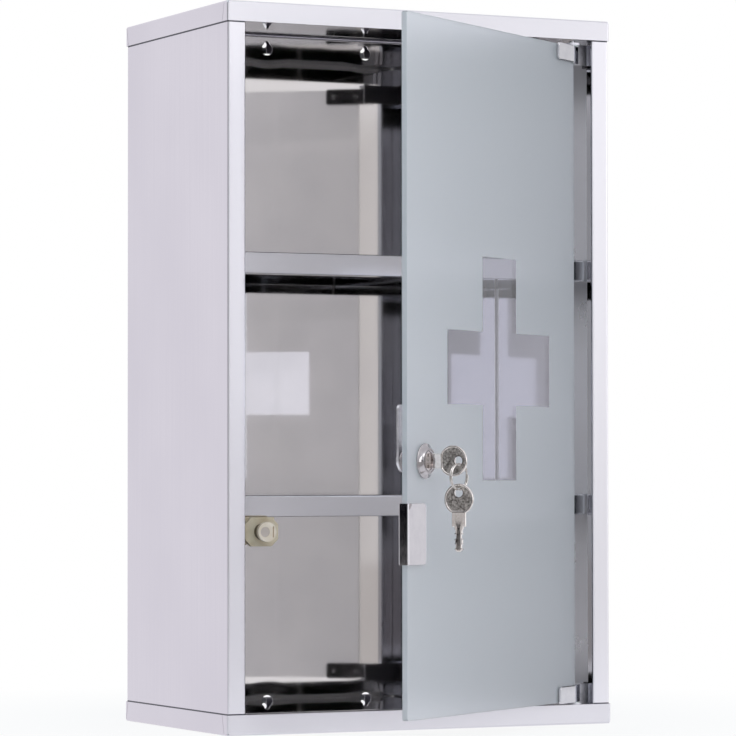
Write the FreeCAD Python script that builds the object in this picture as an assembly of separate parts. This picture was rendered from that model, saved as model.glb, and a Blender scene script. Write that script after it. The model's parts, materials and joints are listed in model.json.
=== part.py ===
import FreeCAD, Part
import math
import os

from FreeCAD import Placement, Rotation, Vector

# Wall medicine cabinet: folded steel casing, two shelves, pivoted glass door, cam lock and touch catch.
# Millimetres. Origin at the middle of the underside, X to the right, Y to the wall, Z up.
# The door's pieces are drawn with the door shut, then swung to the angle at which it rests.

# Casing
casing_width = 298.0
casing_depth = 181.0
casing_height = 500.0
sheet = 0.8
bend_radius = 0.6
end_play = 0.8
overrun = 1.0

# Caps, the trays that close the casing above and below
skirt_height = 14.0
front_tab = 8.5
rear_tab = 5.0
tab_slant = 3.0
seam_width = 0.3

# Side panels, each with a jamb, its lip and a return at the wall
jamb_width = 14.1
lip_depth = 7.2
rear_return = 12.0

# Back panel and the wall fixings
back_recess = 6.5
corner_notch = 1.8
fixing_spacing = 80.0
fixing_inset = 7.5
fixing_diameter = 4.5
keyhole_inset = 11.4
keyhole_diameter = 9.0

# Shelves
upper_shelf_top = 331.0
lower_shelf_top = 162.8
shelf_setback = 34.0
shelf_lip = 15.0
shelf_return = 12.0

# Door glass, frosted in front around a clear cross that stands proud by the depth of the frosting
glass_thickness = 4.0
glass_bottom = 16.5
glass_top_gap = 19.4
glass_corner = 1.5
glass_arris = 0.3
door_inset = 2.9
free_edge_gap = 3.0
hinge_edge_gap = 18.8
frost_depth = 0.15
cross_span = 151.6
cross_arm = 49.8
cross_centre = 248.8
rest_angle = 34.9

# Hinge clamps, cast jaws on the glass with a pivot block past its edge
pivot_reach = 6.5
pivot_setback = 4.5
clamp_height = 12.0
clamp_overhang = 0.7
clamp_pad = 0.5
front_jaw_grip = 26.9
front_jaw_width = 23.5
front_jaw = 1.7
rear_jaw_grip = 25.7
rear_jaw = 2.7
jaw_corner = 2.0
jaw_edge = 0.4
shoulder_height = 0.9
glass_clearance = 0.1
web_gap = 0.3
web_thickness = 1.2
block_length = 10.5
block_front = 1.8
block_corner = 0.8
grub_diameter = 4.0
grub_proud = 0.4
grub_socket = 2.0
grub_socket_depth = 1.2
grub_reaches = (6.0, 23.5)
press_clearance = 0.02

# Hinge brackets, bushes and pivot pins
bracket_sheet = 1.5
bracket_bend = 1.0
bracket_height = 14.5
bracket_leaf = 20.0
bracket_setback = 7.0
ear_radius = 6.0
ear_gap = 1.0
bush_diameter = 6.0
bush_clearance = 0.02
bush_flange_diameter = 9.0
bush_flange = 0.7
bush_proud = 0.5
pin_diameter = 4.0
pin_clearance = 0.05
pin_depth = 8.0
pin_proud = 1.2

# Strike clip on the free edge of the glass, and its liner
clip_wall = 1.3
clip_reach = 22.8
clip_height = 40.2
clip_rise = 0.3
clip_bend = 0.3
clip_corner = 2.0
liner_wall = 0.5
liner_bend = 0.1
liner_margin = 1.2

# Cam lock
lock_inset = 24.1
lock_rise = 27.8
gasket = 0.4
gasket_margin = 0.9
bezel_diameter = 23.4
bezel_edge = 0.8
bezel_front_diameter = 17.0
bezel_height = 3.5
barrel_diameter = 16.0
barrel_length = 15.0
barrel_floor = 1.35
barrel_clearance = 0.3
plug_diameter = 12.0
plug_clearance = 0.08
plug_recess = 0.9
plug_end_play = 0.05
tail_diameter = 8.0
tail_width = 5.6
tail_clearance = 0.05
washer = 0.6
washer_diameter = 21.0
washer_clearance = 0.1
nut_flats = 22.0
nut_height = 4.4
cam_gap = 0.4
cam_thickness = 1.6
cam_width = 15.2
cam_reach = 37.2
cam_corner = 3.0
cam_screw_diameter = 3.0
cam_screw_length = 3.0
cam_screw_head = 9.0
cam_screw_height = 2.2
cam_screw_slot = 1.0

# Keys and the split ring
key_gap = 0.1
key_thickness = 2.0
bow_diameter = 20.6
bow_centre = 18.0
key_hole_diameter = 6.0
key_hole_offset = 4.3
neck_width = 9.8
neck_length = 12.0
blade_width = 6.2
blade_length = 16.5
blade_tip = 1.8
groove_width = 1.3
groove_depth = 0.5
cut_width = 2.0
cut_places = (3.2, 6.4, 9.6, 12.8)
cut_depths = (0.7, 1.2, 0.5, 1.0)
keyway_clearance = 0.12
ring_diameter = 18.0
ring_wire = 1.0
ring_slit = 0.3
ring_slack = 0.6
ring_turn = 10.8
ring_step = 18.0
spare_turn = 85.0

# Touch catch under the lower shelf
catch_inset = 34.0
catch_width = 25.0
catch_height = 20.0
catch_setback = 18.7
catch_length = 42.0
catch_edge = 1.0
collar_length = 4.3
collar_cut = 5.0
waist_cut = 1.2
strike_gap = 0.3
plunger_head_diameter = 13.6
plunger_head = 3.0
plunger_diameter = 11.0
plunger_stem = 32.0
plunger_clearance = 0.1
bore_floor = 6.5
magnet_diameter = 6.8
magnet_length = 2.4
magnet_sunk = 0.3
magnet_shift = 1.6
magnet_clearance = 0.05
head_slot_width = 1.2
head_slot_height = 7.5
head_slot_depth = 1.5
head_slot_shift = 4.4
spring_wire = 0.7
spring_diameter = 8.6
spring_half_turns = 5
wire_sides = 4
spring_gap = 0.1
catch_screw_shift = 9.0
catch_screw_diameter = 3.0
catch_screw_head = 5.2
catch_screw_height = 1.8
catch_screw_sink = 2.6
catch_screw_proud = 1.5
catch_screw_slot = 0.8
screw_clearance = 0.1

# Places that follow from the sizes above
left = -casing_width / 2
front = -casing_depth / 2
rear = casing_depth / 2
inner_half = casing_width / 2 - 2 * sheet
panel_foot = sheet + end_play
panel_height = casing_height - 2 * panel_foot
jamb_front = front + sheet
shelf_front = front + shelf_setback
glass_front = front + door_inset
glass_rear = glass_front + glass_thickness
glass_free = left + jamb_width + free_edge_gap
glass_hinge = -left - jamb_width - hinge_edge_gap
glass_top = casing_height - glass_top_gap
door_middle = (glass_bottom + glass_top) / 2
pivot_x = glass_hinge + pivot_reach
pivot_y = glass_front + pivot_setback
clamp_foot = glass_bottom - clamp_overhang
clamp_middle = clamp_foot + clamp_height / 2
front_jaw_start = glass_hinge - front_jaw_grip
rear_jaw_start = glass_hinge - rear_jaw_grip
rear_jaw_face = glass_rear + clamp_pad
block_start = glass_hinge + web_gap + web_thickness
ear_top = clamp_foot - ear_gap
ear_bottom = ear_top - bracket_sheet
catch_top = lower_shelf_top - shelf_lip
catch_foot = catch_top - catch_height
catch_middle = catch_top - catch_height / 2
clip_bottom = catch_middle + clip_rise - clip_height / 2
lock_x = glass_free + lock_inset
lock_height = clip_bottom + clip_height + lock_rise
plug_face = gasket + bezel_height - plug_recess
tail_start = barrel_floor - barrel_length
cam_front = -barrel_length - cam_gap
cam_rear = cam_front - cam_thickness
key_start = plug_face + key_gap
key_hole_place = bow_centre + key_hole_offset
ring_mean = (ring_diameter - ring_wire) / 2
ring_top = lock_height - key_hole_diameter / 2 + ring_wire / 2 + ring_slack
ring_middle = ring_top - ring_mean
ring_out = key_start + key_hole_place
spare_hole = ring_middle - ring_mean - key_hole_diameter / 2 + ring_wire / 2 + ring_slack
catch_x = left + catch_inset
catch_front = front + catch_setback
catch_rear = catch_front + catch_length
head_front = glass_rear + liner_wall + clip_wall + strike_gap
stem_start = head_front + plunger_head
stem_end = stem_start + plunger_stem
bore_end = catch_rear - bore_floor

up = Vector(0, 0, 1)
inward = Vector(0, 1, 0)
outward = Vector(0, -1, 0)
rightward = Vector(1, 0, 0)
full_turn = 360
half_turn = full_turn / 2
quarter_turn = full_turn / 4
hexagon_sides = 6
parallel_limit = 1e-6


# General forms

def box(x0, x1, y0, y1, z0, z1):
    return Part.makeBox(x1 - x0, y1 - y0, z1 - z0, Vector(x0, y0, z0))


def rod(diameter, length, base, axis):
    return Part.makeCylinder(diameter / 2, length, base, axis)


def turned(profile, base, axis):
    # profile of (radius, distance along the axis) pairs, spun round the axis
    corners = [Vector(radius, 0, along) for radius, along in profile]
    solid = Part.Face(Part.makePolygon(corners + corners[:1])).revolve(Vector(0, 0, 0), up, full_turn)
    solid.Placement = Placement(base, Rotation(up, axis))
    return solid


def tube(outer, inner, start, end):
    # profile of a plain ring for turned
    return [(inner / 2, start), (outer / 2, start), (outer / 2, end), (inner / 2, end)]


def placed(shape, base, along, height):
    # from a drawing with X along and Z high to its place on the part
    moved = shape.copy()
    moved.Placement = Placement(base, Rotation(along, height.cross(along), height, "XZY"))
    return moved


def mirrored(shape, base, normal):
    return shape.mirror(base, normal)


def hexagon(flats):
    # face at z = 0 round the origin, of this width across its flats
    radius = flats / math.sqrt(3)
    turns = [math.radians(full_turn / hexagon_sides * side) for side in range(hexagon_sides + 1)]
    return Part.Face(Part.makePolygon([Vector(radius * math.cos(turn), radius * math.sin(turn), 0)
                                       for turn in turns]))


def edges_along(shape, axis):
    # straight edges that run parallel to the axis
    picked = []
    for edge in shape.Edges:
        run = edge.Vertexes[-1].Point - edge.Vertexes[0].Point
        if run.Length > 0 and abs(run.dot(axis)) > run.Length * (1 - parallel_limit):
            picked.append(edge)
    return picked


def edges_at(shape, axis, place):
    # edges with both ends in the plane across the axis at this place
    picked = []
    for edge in shape.Edges:
        if all(abs(vertex.Point.dot(axis) - place) < parallel_limit for vertex in edge.Vertexes):
            picked.append(edge)
    return picked


def edges_between(edges, axis, low, high):
    # those of the edges whose middle lies between two places along the axis
    return [edge for edge in edges if low < edge.CenterOfMass.dot(axis) < high]


def offset_line(points, distance):
    # the same open line moved to its right-hand side, seen from above
    sides = []
    for (x0, y0), (x1, y1) in zip(points, points[1:]):
        length = math.hypot(x1 - x0, y1 - y0)
        sides.append(((y1 - y0) / length, (x0 - x1) / length))
    first, last = points[0], points[-1]
    moved = [(first[0] + sides[0][0] * distance, first[1] + sides[0][1] * distance)]
    for (x, y), (ax, ay), (bx, by) in zip(points[1:-1], sides, sides[1:]):
        reach = distance / (1 + ax * bx + ay * by)
        moved.append((x + (ax + bx) * reach, y + (ay + by) * reach))
    moved.append((last[0] + sides[-1][0] * distance, last[1] + sides[-1][1] * distance))
    return moved


def bent_line(points, radius):
    # straight runs joined by arcs of one radius
    corners = [Vector(x, y, 0) for x, y in points]
    edges = []
    start = corners[0]
    for before, corner, after in zip(corners, corners[1:], corners[2:]):
        back = (before - corner).normalize()
        ahead = (after - corner).normalize()
        half = back.getAngle(ahead) / 2
        reach = radius / math.tan(half)
        middle = corner + (back + ahead).normalize() * (radius / math.sin(half) - radius)
        edges.append(Part.LineSegment(start, corner + back * reach).toShape())
        edges.append(Part.Arc(corner + back * reach, middle, corner + ahead * reach).toShape())
        start = corner + ahead * reach
    edges.append(Part.LineSegment(start, corners[-1]).toShape())
    return edges


def folded_strip(points, thickness, inside, foot, height):
    # sheet folded to right-hand turns along its outer line in plan, standing on its edge
    inner_points = offset_line(points, thickness)
    edges = bent_line(points, inside + thickness) + bent_line(inner_points, inside)
    for outer, inner in ((points[0], inner_points[0]), (points[-1], inner_points[-1])):
        edges.append(Part.LineSegment(Vector(*outer, 0), Vector(*inner, 0)).toShape())
    strip = Part.Face(Part.Wire(Part.__sortEdges__(edges))).extrude(up * height)
    strip.translate(up * foot)
    return strip


def tray(width, depth, height, wrapped_corners):
    # plate below with four skirts up, middle of the plate at x = y = 0
    # corners are either wrapped by the skirts and relieved at the plate, or notched right through
    shells = []
    for inset, radius, top in ((0, bend_radius + sheet, height), (sheet, bend_radius, height + overrun)):
        shell = box(inset - width / 2, width / 2 - inset, inset - depth / 2, depth / 2 - inset, inset, top)
        rounded = edges_at(shell, up, inset)
        if wrapped_corners:
            rounded = rounded + edges_along(shell, up)
        shells.append(shell.makeFillet(radius, rounded))
    notch = bend_radius + sheet if wrapped_corners else corner_notch
    notch_top = notch if wrapped_corners else height + overrun
    notches = []
    for x in (-width / 2, width / 2):
        for y in (-depth / 2, depth / 2):
            notches.append(box(x - notch, x + notch, y - notch, y + notch, -overrun, notch_top))
    return shells[0].cut(shells[1]).cut(notches)


# Casing pieces

def corner_seams():
    # slanted slits beside the tabs that wrap round the cap's corners
    slits = []
    foot = sheet + bend_radius
    rise = skirt_height - foot
    over = overrun * tab_slant / rise
    for side in (left, -left):
        for edge, tab, way in ((front, front_tab, 1), (rear, rear_tab, -1)):
            low = edge + way * (tab - tab_slant)
            high = edge + way * (tab + over)
            x = side - sheet - overrun
            outline = [Vector(x, low, foot), Vector(x, high, skirt_height + overrun),
                       Vector(x, high + seam_width, skirt_height + overrun),
                       Vector(x, low + seam_width, foot)]
            face = Part.Face(Part.makePolygon(outline + outline[:1]))
            slits.append(face.extrude(rightward * (2 * sheet + 2 * overrun)))
    return slits


def bottom_cap():
    cap = tray(casing_width, casing_depth, skirt_height, True)
    cuts = corner_seams()
    for side in (-1, 1):
        base = Vector(side * fixing_spacing / 2, rear - sheet - overrun, fixing_inset)
        cuts.append(rod(fixing_diameter, sheet + 2 * overrun, base, inward))
    return cap.cut(cuts)


def top_cap():
    return mirrored(bottom_cap(), up * (casing_height / 2), up)


def left_side():
    outer = left + sheet
    jamb_edge = left + jamb_width
    line = [(jamb_edge, jamb_front + lip_depth), (jamb_edge, jamb_front), (outer, jamb_front),
            (outer, rear - sheet), (outer + rear_return, rear - sheet)]
    return folded_strip(line, sheet, bend_radius, panel_foot, panel_height)


def right_side():
    return mirrored(left_side(), Vector(0, 0, 0), rightward)


def back_panel():
    # tray with its skirts towards the wall and four keyholes that open towards the ends
    panel = tray(2 * inner_half, panel_height, back_recess - 2 * sheet - end_play, False)
    panel.rotate(Vector(0, 0, 0), rightward, -quarter_turn)
    panel.translate(Vector(0, rear - back_recess, casing_height / 2))
    cuts = []
    start = rear - back_recess - overrun
    depth = sheet + 2 * overrun
    neck = fixing_diameter / 2
    for side in (-1, 1):
        x = side * fixing_spacing / 2
        for end, way in ((0, 1), (casing_height, -1)):
            head_z = end + way * keyhole_inset
            neck_z = end + way * fixing_inset
            cuts.append(rod(keyhole_diameter, depth, Vector(x, start, head_z), inward))
            cuts.append(rod(fixing_diameter, depth, Vector(x, start, neck_z), inward))
            cuts.append(box(x - neck, x + neck, start, start + depth, min(head_z, neck_z), max(head_z, neck_z)))
    return panel.cut(cuts)


def shelf(top):
    # upturned tray with a return along the foot of its front lip
    depth = rear - back_recess - shelf_front
    board = tray(2 * inner_half, depth, shelf_lip, False)
    board.rotate(Vector(0, 0, 0), rightward, half_turn)
    board.translate(Vector(0, shelf_front + depth / 2, top))
    half = inner_half - corner_notch
    foot = top - shelf_lip
    fold = box(-half, half, shelf_front, shelf_front + shelf_return, foot, foot + sheet)
    board = board.fuse(fold).removeSplitter()
    knee = edges_at(board, inward, shelf_front)
    knee = edges_between(knee, up, foot - parallel_limit, foot + parallel_limit)
    return board.makeFillet(bend_radius + sheet / 2, knee)


def upper_shelf():
    return shelf(upper_shelf_top)


def lower_shelf():
    holes = []
    for base in catch_screw_places():
        holes.append(rod(catch_screw_diameter + 2 * screw_clearance, sheet + 2 * overrun,
                         Vector(base.x, base.y, catch_top - overrun), up))
    return shelf(lower_shelf_top).cut(holes)


# Hinge, drawn at the foot of the door; the head of the door has the mirror image

def hinge_bracket_bottom():
    # leaf on the casing's side, web across to the pivot, ear under the clamp
    web = pivot_y + bracket_setback
    line = [(inner_half, web + bracket_leaf), (inner_half, web), (pivot_x - ear_radius, web)]
    strip = folded_strip(line, bracket_sheet, bracket_bend, ear_bottom, bracket_height)
    ear = box(pivot_x - ear_radius, pivot_x + ear_radius, pivot_y, web + bracket_sheet, ear_bottom, ear_top)
    ear = ear.fuse(rod(2 * ear_radius, bracket_sheet, Vector(pivot_x, pivot_y, ear_bottom), up))
    hole = rod(bush_diameter + 2 * bush_clearance, bracket_sheet + 2 * overrun,
               Vector(pivot_x, pivot_y, ear_bottom - overrun), up)
    return strip.fuse(ear).removeSplitter().cut(hole)


def pivot_bush_bottom():
    bore = pin_diameter + 2 * pin_clearance
    low = ear_bottom - bush_proud
    high = ear_top + bush_flange
    profile = [(bore / 2, low), (bush_diameter / 2, low), (bush_diameter / 2, ear_top),
               (bush_flange_diameter / 2, ear_top), (bush_flange_diameter / 2, high), (bore / 2, high)]
    return turned(profile, Vector(pivot_x, pivot_y, 0), up)


def pivot_pin_bottom():
    low = ear_bottom - bush_proud - pin_proud
    high = clamp_foot + pin_depth
    return rod(pin_diameter, high - low, Vector(pivot_x, pivot_y, low), up)


def hinge_clamp_bottom():
    # front jaw with rounded corners, thinner shoulder, web past the glass, pivot block and rear jaw
    head = clamp_foot + clamp_height
    jaw_face = glass_front - clamp_pad
    front_end = front_jaw_start + front_jaw_width
    rear_face = rear_jaw_face + rear_jaw
    web_start = glass_hinge + web_gap
    front_jaw_solid = box(front_jaw_start, front_end, jaw_face - front_jaw, jaw_face, clamp_foot, head)
    rear_jaw_solid = box(rear_jaw_start, web_start, rear_jaw_face, rear_face, clamp_foot, head)
    jaws = []
    for jaw, start in ((front_jaw_solid, front_jaw_start), (rear_jaw_solid, rear_jaw_start)):
        corners = edges_between(edges_along(jaw, inward), rightward, start - overrun, start + overrun)
        jaws.append(jaw.makeFillet(jaw_corner, corners))
    jaws[0] = jaws[0].makeChamfer(jaw_edge, edges_at(jaws[0], inward, jaw_face - front_jaw))
    shoulder = box(front_end - jaw_corner, block_start, glass_front - shoulder_height,
                   glass_front - glass_clearance, clamp_foot, head)
    shoulder = shoulder.cut(box(front_jaw_start, front_end, jaw_face, glass_front, clamp_foot, head))
    web = box(web_start, block_start, glass_front - shoulder_height, rear_face, clamp_foot, head)
    block = box(block_start, block_start + block_length, glass_front + block_front, rear_face, clamp_foot, head)
    corners = edges_between(edges_along(block, up), rightward, pivot_x, block_start + block_length + overrun)
    block = block.makeFillet(block_corner, corners)
    clamp = jaws[0].fuse([jaws[1], shoulder, web, block]).removeSplitter()
    cuts = [rod(pin_diameter + 2 * press_clearance, pin_depth + overrun,
                Vector(pivot_x, pivot_y, clamp_foot - overrun), up)]
    for base in grub_places():
        cuts.append(rod(grub_diameter + 2 * press_clearance, rear_jaw + 2 * overrun,
                        base - inward * overrun, inward))
    return clamp.cut(cuts)


def grub_places():
    return [Vector(rear_jaw_start + reach, rear_jaw_face, clamp_middle) for reach in grub_reaches]


def clamp_pads_bottom():
    foot = clamp_foot + clamp_overhang + glass_corner
    head = clamp_foot + clamp_height - clamp_overhang
    front_pad = box(front_jaw_start + jaw_corner, front_jaw_start + front_jaw_width,
                    glass_front - clamp_pad, glass_front, foot, head)
    rear_pad = box(rear_jaw_start + jaw_corner, glass_hinge - glass_corner,
                   glass_rear, glass_rear + clamp_pad, foot, head)
    return Part.makeCompound([front_pad, rear_pad])


def clamp_screws_bottom():
    # grub screws with a hexagon socket, driven through the rear jaw onto its pad
    screws = []
    length = rear_jaw + grub_proud
    for base in grub_places():
        socket = hexagon(grub_socket).extrude(up * (grub_socket_depth + overrun))
        socket.Placement = Placement(base + inward * (length - grub_socket_depth), Rotation(up, inward))
        screws.append(rod(grub_diameter, length, base, inward).cut(socket))
    return Part.makeCompound(screws)


# Door glass and its strike clip

def cross_bars(depth):
    half_span = cross_span / 2
    half_arm = cross_arm / 2
    bars = []
    for half_x, half_z in ((half_arm, half_span), (half_span, half_arm)):
        bars.append(box(-half_x, half_x, glass_front - depth, glass_front + overrun,
                        cross_centre - half_z, cross_centre + half_z))
    return bars


def door_glass():
    pane = box(glass_free, glass_hinge, glass_front, glass_rear, glass_bottom, glass_top)
    pane = pane.makeFillet(glass_corner, edges_along(pane, inward))
    faces = edges_at(pane, inward, glass_front) + edges_at(pane, inward, glass_rear)
    pane = pane.makeChamfer(glass_arris, faces)
    hole = rod(barrel_diameter + 2 * barrel_clearance, glass_thickness + 2 * overrun,
               Vector(lock_x, glass_front - overrun, lock_height), inward)
    return pane.fuse(cross_bars(frost_depth)).removeSplitter().cut(hole)


def edge_channel(gap, wall, inside, reach, foot, height):
    # channel folded round the free edge of the glass, standing off it by the gap
    near = glass_front - gap - wall
    far = glass_rear + gap + wall
    end = glass_free - gap - wall
    line = [(glass_free + reach, far), (end, far), (end, near), (glass_free + reach, near)]
    flipped = [(x, -y) for x, y in line]
    strip = folded_strip(flipped, wall, inside, foot, height)
    return mirrored(strip, Vector(0, 0, 0), inward)


def strike_clip():
    clip = edge_channel(liner_wall, clip_wall, clip_bend, clip_reach, clip_bottom, clip_height)
    end = glass_free + clip_reach
    corners = edges_between(edges_along(clip, inward), rightward, end - parallel_limit, end + parallel_limit)
    return clip.makeFillet(clip_corner, corners)


def strike_liner():
    return edge_channel(0, liner_wall, liner_bend, clip_reach - liner_margin,
                        clip_bottom + liner_margin, clip_height - 2 * liner_margin)


# Cam lock, drawn along its axis with zero at the front of the glass and outward positive

def lock_point(distance):
    return Vector(lock_x, glass_front - distance, lock_height)


def lock_housing():
    barrel = barrel_diameter / 2
    bore = plug_diameter / 2 + plug_clearance
    face = gasket + bezel_height
    tail_hole = tail_diameter / 2 + plug_clearance
    profile = [(bore, tail_start), (bore, face), (bezel_front_diameter / 2, face),
               (bezel_diameter / 2, gasket + bezel_edge), (bezel_diameter / 2, gasket), (barrel, gasket),
               (barrel, -barrel_length), (tail_hole, -barrel_length), (tail_hole, tail_start)]
    return turned(profile, lock_point(0), outward)


def lock_gasket():
    profile = tube(bezel_diameter - 2 * gasket_margin, barrel_diameter + 2 * washer_clearance, 0, gasket)
    return turned(profile, lock_point(0), outward)


def lock_washer():
    face = -glass_thickness
    profile = tube(washer_diameter, barrel_diameter + 2 * washer_clearance, face - washer, face)
    return turned(profile, lock_point(0), outward)


def lock_nut():
    face = lock_point(-glass_thickness - washer)
    nut = hexagon(nut_flats).extrude(up * nut_height)
    nut.Placement = Placement(face, Rotation(up, inward))
    return nut.cut(rod(barrel_diameter + 2 * press_clearance, nut_height, face, inward))


def tail_outline(width, diameter, start, end):
    # round tail with two flats, square to the door when unlocked
    tail = rod(diameter, start - end, lock_point(start), inward)
    half = width / 2
    flats = box(lock_x - half, lock_x + half, glass_front - start, glass_front - end,
                lock_height - diameter, lock_height + diameter)
    return tail.common(flats)


def lock_plug():
    plug = rod(plug_diameter, plug_face - tail_start - plug_end_play, lock_point(plug_face), inward)
    tail = rod(tail_diameter, tail_start + barrel_length + cam_gap, lock_point(tail_start + plug_end_play), inward)
    plug = plug.fuse([tail, tail_outline(tail_width, tail_diameter, cam_front + cam_gap, cam_rear)])
    half_x = key_thickness / 2 + keyway_clearance
    half_z = blade_width / 2 + keyway_clearance
    end = key_start - blade_length - keyway_clearance
    keyway = box(lock_x - half_x, lock_x + half_x, glass_front - plug_face - overrun, glass_front - end,
                 lock_height - half_z, lock_height + half_z)
    thread = rod(cam_screw_diameter + 2 * press_clearance, cam_screw_length + overrun,
                 lock_point(cam_rear + cam_screw_length), inward)
    return plug.removeSplitter().cut([keyway, thread])


def cam_lever():
    # flat lever with a round hub, pointing up when unlocked
    half = cam_width / 2
    hub = rod(cam_width, cam_thickness, lock_point(cam_front), inward)
    arm = box(lock_x - half, lock_x + half, glass_front - cam_front, glass_front - cam_rear,
              lock_height, lock_height + cam_reach)
    tip = edges_between(edges_along(arm, inward), up, lock_height + half, lock_height + cam_reach + overrun)
    arm = arm.makeFillet(cam_corner, tip)
    hole = tail_outline(tail_width + 2 * tail_clearance, tail_diameter + 2 * tail_clearance,
                        cam_front + overrun, cam_rear - overrun)
    return hub.fuse(arm).removeSplitter().cut(hole)


def slotted_screw(head, head_height, diameter, length, slot):
    # cheese head below the origin, shank upwards along Z
    profile = [(0, length), (diameter / 2, length), (diameter / 2, 0), (head / 2, 0),
               (head / 2, -head_height), (0, -head_height)]
    screw = turned(profile, Vector(0, 0, 0), up)
    return screw.cut(box(-head, head, -slot / 2, slot / 2, -head_height - overrun, -head_height / 2))


def cam_screw():
    screw = slotted_screw(cam_screw_head, cam_screw_height, cam_screw_diameter, cam_screw_length, cam_screw_slot)
    screw.Placement = Placement(lock_point(cam_rear), Rotation(up, outward))
    return screw


# Keys and split ring

def key_blank():
    # drawn from the shoulder: bow along X, blade along minus X, flat in the XZ plane
    half = key_thickness / 2
    bow = rod(bow_diameter, key_thickness, Vector(bow_centre, -half, 0), inward)
    neck = box(0, neck_length, -half, half, -neck_width / 2, neck_width / 2)
    head = bow.fuse(neck).removeSplitter()
    waist = edges_between(edges_along(head, inward), rightward, overrun, bow_centre)
    head = head.makeFillet(jaw_corner, waist)
    blade = box(-blade_length, 0, -half, half, -blade_width / 2, blade_width / 2)
    tip = edges_between(edges_along(blade, inward), rightward, -blade_length - overrun, -blade_length + overrun)
    blade = blade.makeChamfer(blade_tip, tip)
    cuts = [rod(key_hole_diameter, key_thickness + 2 * overrun,
                Vector(key_hole_place, -half - overrun, 0), inward)]
    for side in (-1, 1):
        groove = box(-blade_length - overrun, 0, half - groove_depth, half + overrun,
                     -groove_width / 2, groove_width / 2)
        cuts.append(groove if side > 0 else mirrored(groove, Vector(0, 0, 0), inward))
        for place, depth in zip(cut_places, cut_depths):
            edge = side * blade_width / 2
            floor = edge - side * depth
            outline = [Vector(-place - cut_width / 2 - depth, -half - overrun, edge),
                       Vector(-place - cut_width / 2, -half - overrun, floor),
                       Vector(-place + cut_width / 2, -half - overrun, floor),
                       Vector(-place + cut_width / 2 + depth, -half - overrun, edge)]
            notch = Part.Face(Part.makePolygon(outline + outline[:1]))
            cuts.append(notch.extrude(inward * (key_thickness + 2 * overrun)))
    return head.fuse(blade).removeSplitter().cut(cuts)


def key():
    return placed(key_blank(), lock_point(key_start), outward, up)


def spare_key():
    turn = math.radians(spare_turn)
    across = Vector(-math.cos(turn), math.sin(turn), 0)
    base = Vector(lock_x, glass_front - ring_out, spare_hole - key_hole_place)
    return placed(key_blank(), base, up, across)


def wire_arc(mean, wire, start, span):
    # flat wire bent round Z at z = 0, from a start angle through a span in degrees
    share = math.radians(full_turn / wire_sides)
    radius = wire / 2 / math.cos(share / 2)
    turns = [share * (side + 1 / 2) for side in range(wire_sides)]
    corners = [Vector(mean + radius * math.cos(turn), 0, radius * math.sin(turn)) for turn in turns]
    arc = Part.Face(Part.makePolygon(corners + corners[:1])).revolve(Vector(0, 0, 0), up, span)
    arc.rotate(Vector(0, 0, 0), up, start)
    return arc


def split_ring():
    # two turns of flat wire closed on each other, with a slit at each end of the wire
    band = tube(ring_diameter, ring_diameter - 2 * ring_wire, -ring_wire, ring_wire)
    ring = turned(band, Vector(0, 0, 0), up)
    slits = []
    for side, turn in ((-1, 0), (1, ring_step)):
        slit = box(ring_mean - ring_wire, ring_mean + ring_wire, 0, ring_slit,
                   min(0, side * 2 * ring_wire), max(0, side * 2 * ring_wire))
        slit.rotate(Vector(0, 0, 0), up, turn)
        slits.append(slit)
    ring = ring.cut(slits)
    lean = math.radians(ring_turn)
    base = Vector(lock_x, glass_front - ring_out, ring_middle)
    along = Vector(math.cos(lean), -math.sin(lean), 0)
    return placed(ring, base, along, Vector(math.sin(lean), math.cos(lean), 0))


# Touch catch

def catch_screw_places():
    y = shelf_front + shelf_return / 2
    return [Vector(catch_x + side * catch_screw_shift, y, catch_foot + catch_screw_sink) for side in (-1, 1)]


def catch_housing():
    # collar with cut corners, waisted body and a blind bore for the plunger
    half = catch_width / 2
    collar_end = catch_front + collar_length
    collar = box(catch_x - half, catch_x + half, catch_front, collar_end, catch_foot, catch_top)
    collar = collar.makeChamfer(collar_cut, edges_along(collar, inward))
    body = box(catch_x - half + waist_cut, catch_x + half - waist_cut, collar_end, catch_rear,
               catch_foot + waist_cut, catch_top)
    lower = edges_between(edges_along(body, inward), up, catch_foot, catch_middle)
    body = body.makeChamfer(catch_edge, lower + edges_at(body, inward, catch_rear))
    cuts = [rod(plunger_diameter + 2 * plunger_clearance, bore_end - catch_front + overrun,
                Vector(catch_x, catch_front - overrun, catch_middle), inward)]
    for base in catch_screw_places():
        cuts.append(rod(catch_screw_diameter + 2 * screw_clearance, catch_height, base, up))
        cuts.append(rod(catch_screw_head + 2 * screw_clearance, catch_screw_sink + overrun,
                        base, up * -1))
    return collar.fuse(body).removeSplitter().cut(cuts)


def catch_plunger():
    head = rod(plunger_head_diameter, plunger_head, Vector(catch_x, head_front, catch_middle), inward)
    stem = rod(plunger_diameter, plunger_stem, Vector(catch_x, stem_start, catch_middle), inward)
    pocket = rod(magnet_diameter + 2 * magnet_clearance, magnet_length + magnet_sunk + overrun,
                 Vector(catch_x - magnet_shift, head_front - overrun, catch_middle), inward)
    slot_x = catch_x + head_slot_shift
    slot = box(slot_x - head_slot_width / 2, slot_x + head_slot_width / 2,
               head_front - overrun, head_front + head_slot_depth,
               catch_middle - head_slot_height / 2, catch_middle + head_slot_height / 2)
    return head.fuse(stem).removeSplitter().cut([pocket, slot])


def catch_magnet():
    base = Vector(catch_x - magnet_shift, head_front + magnet_sunk, catch_middle)
    return rod(magnet_diameter, magnet_length, base, inward)


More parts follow.
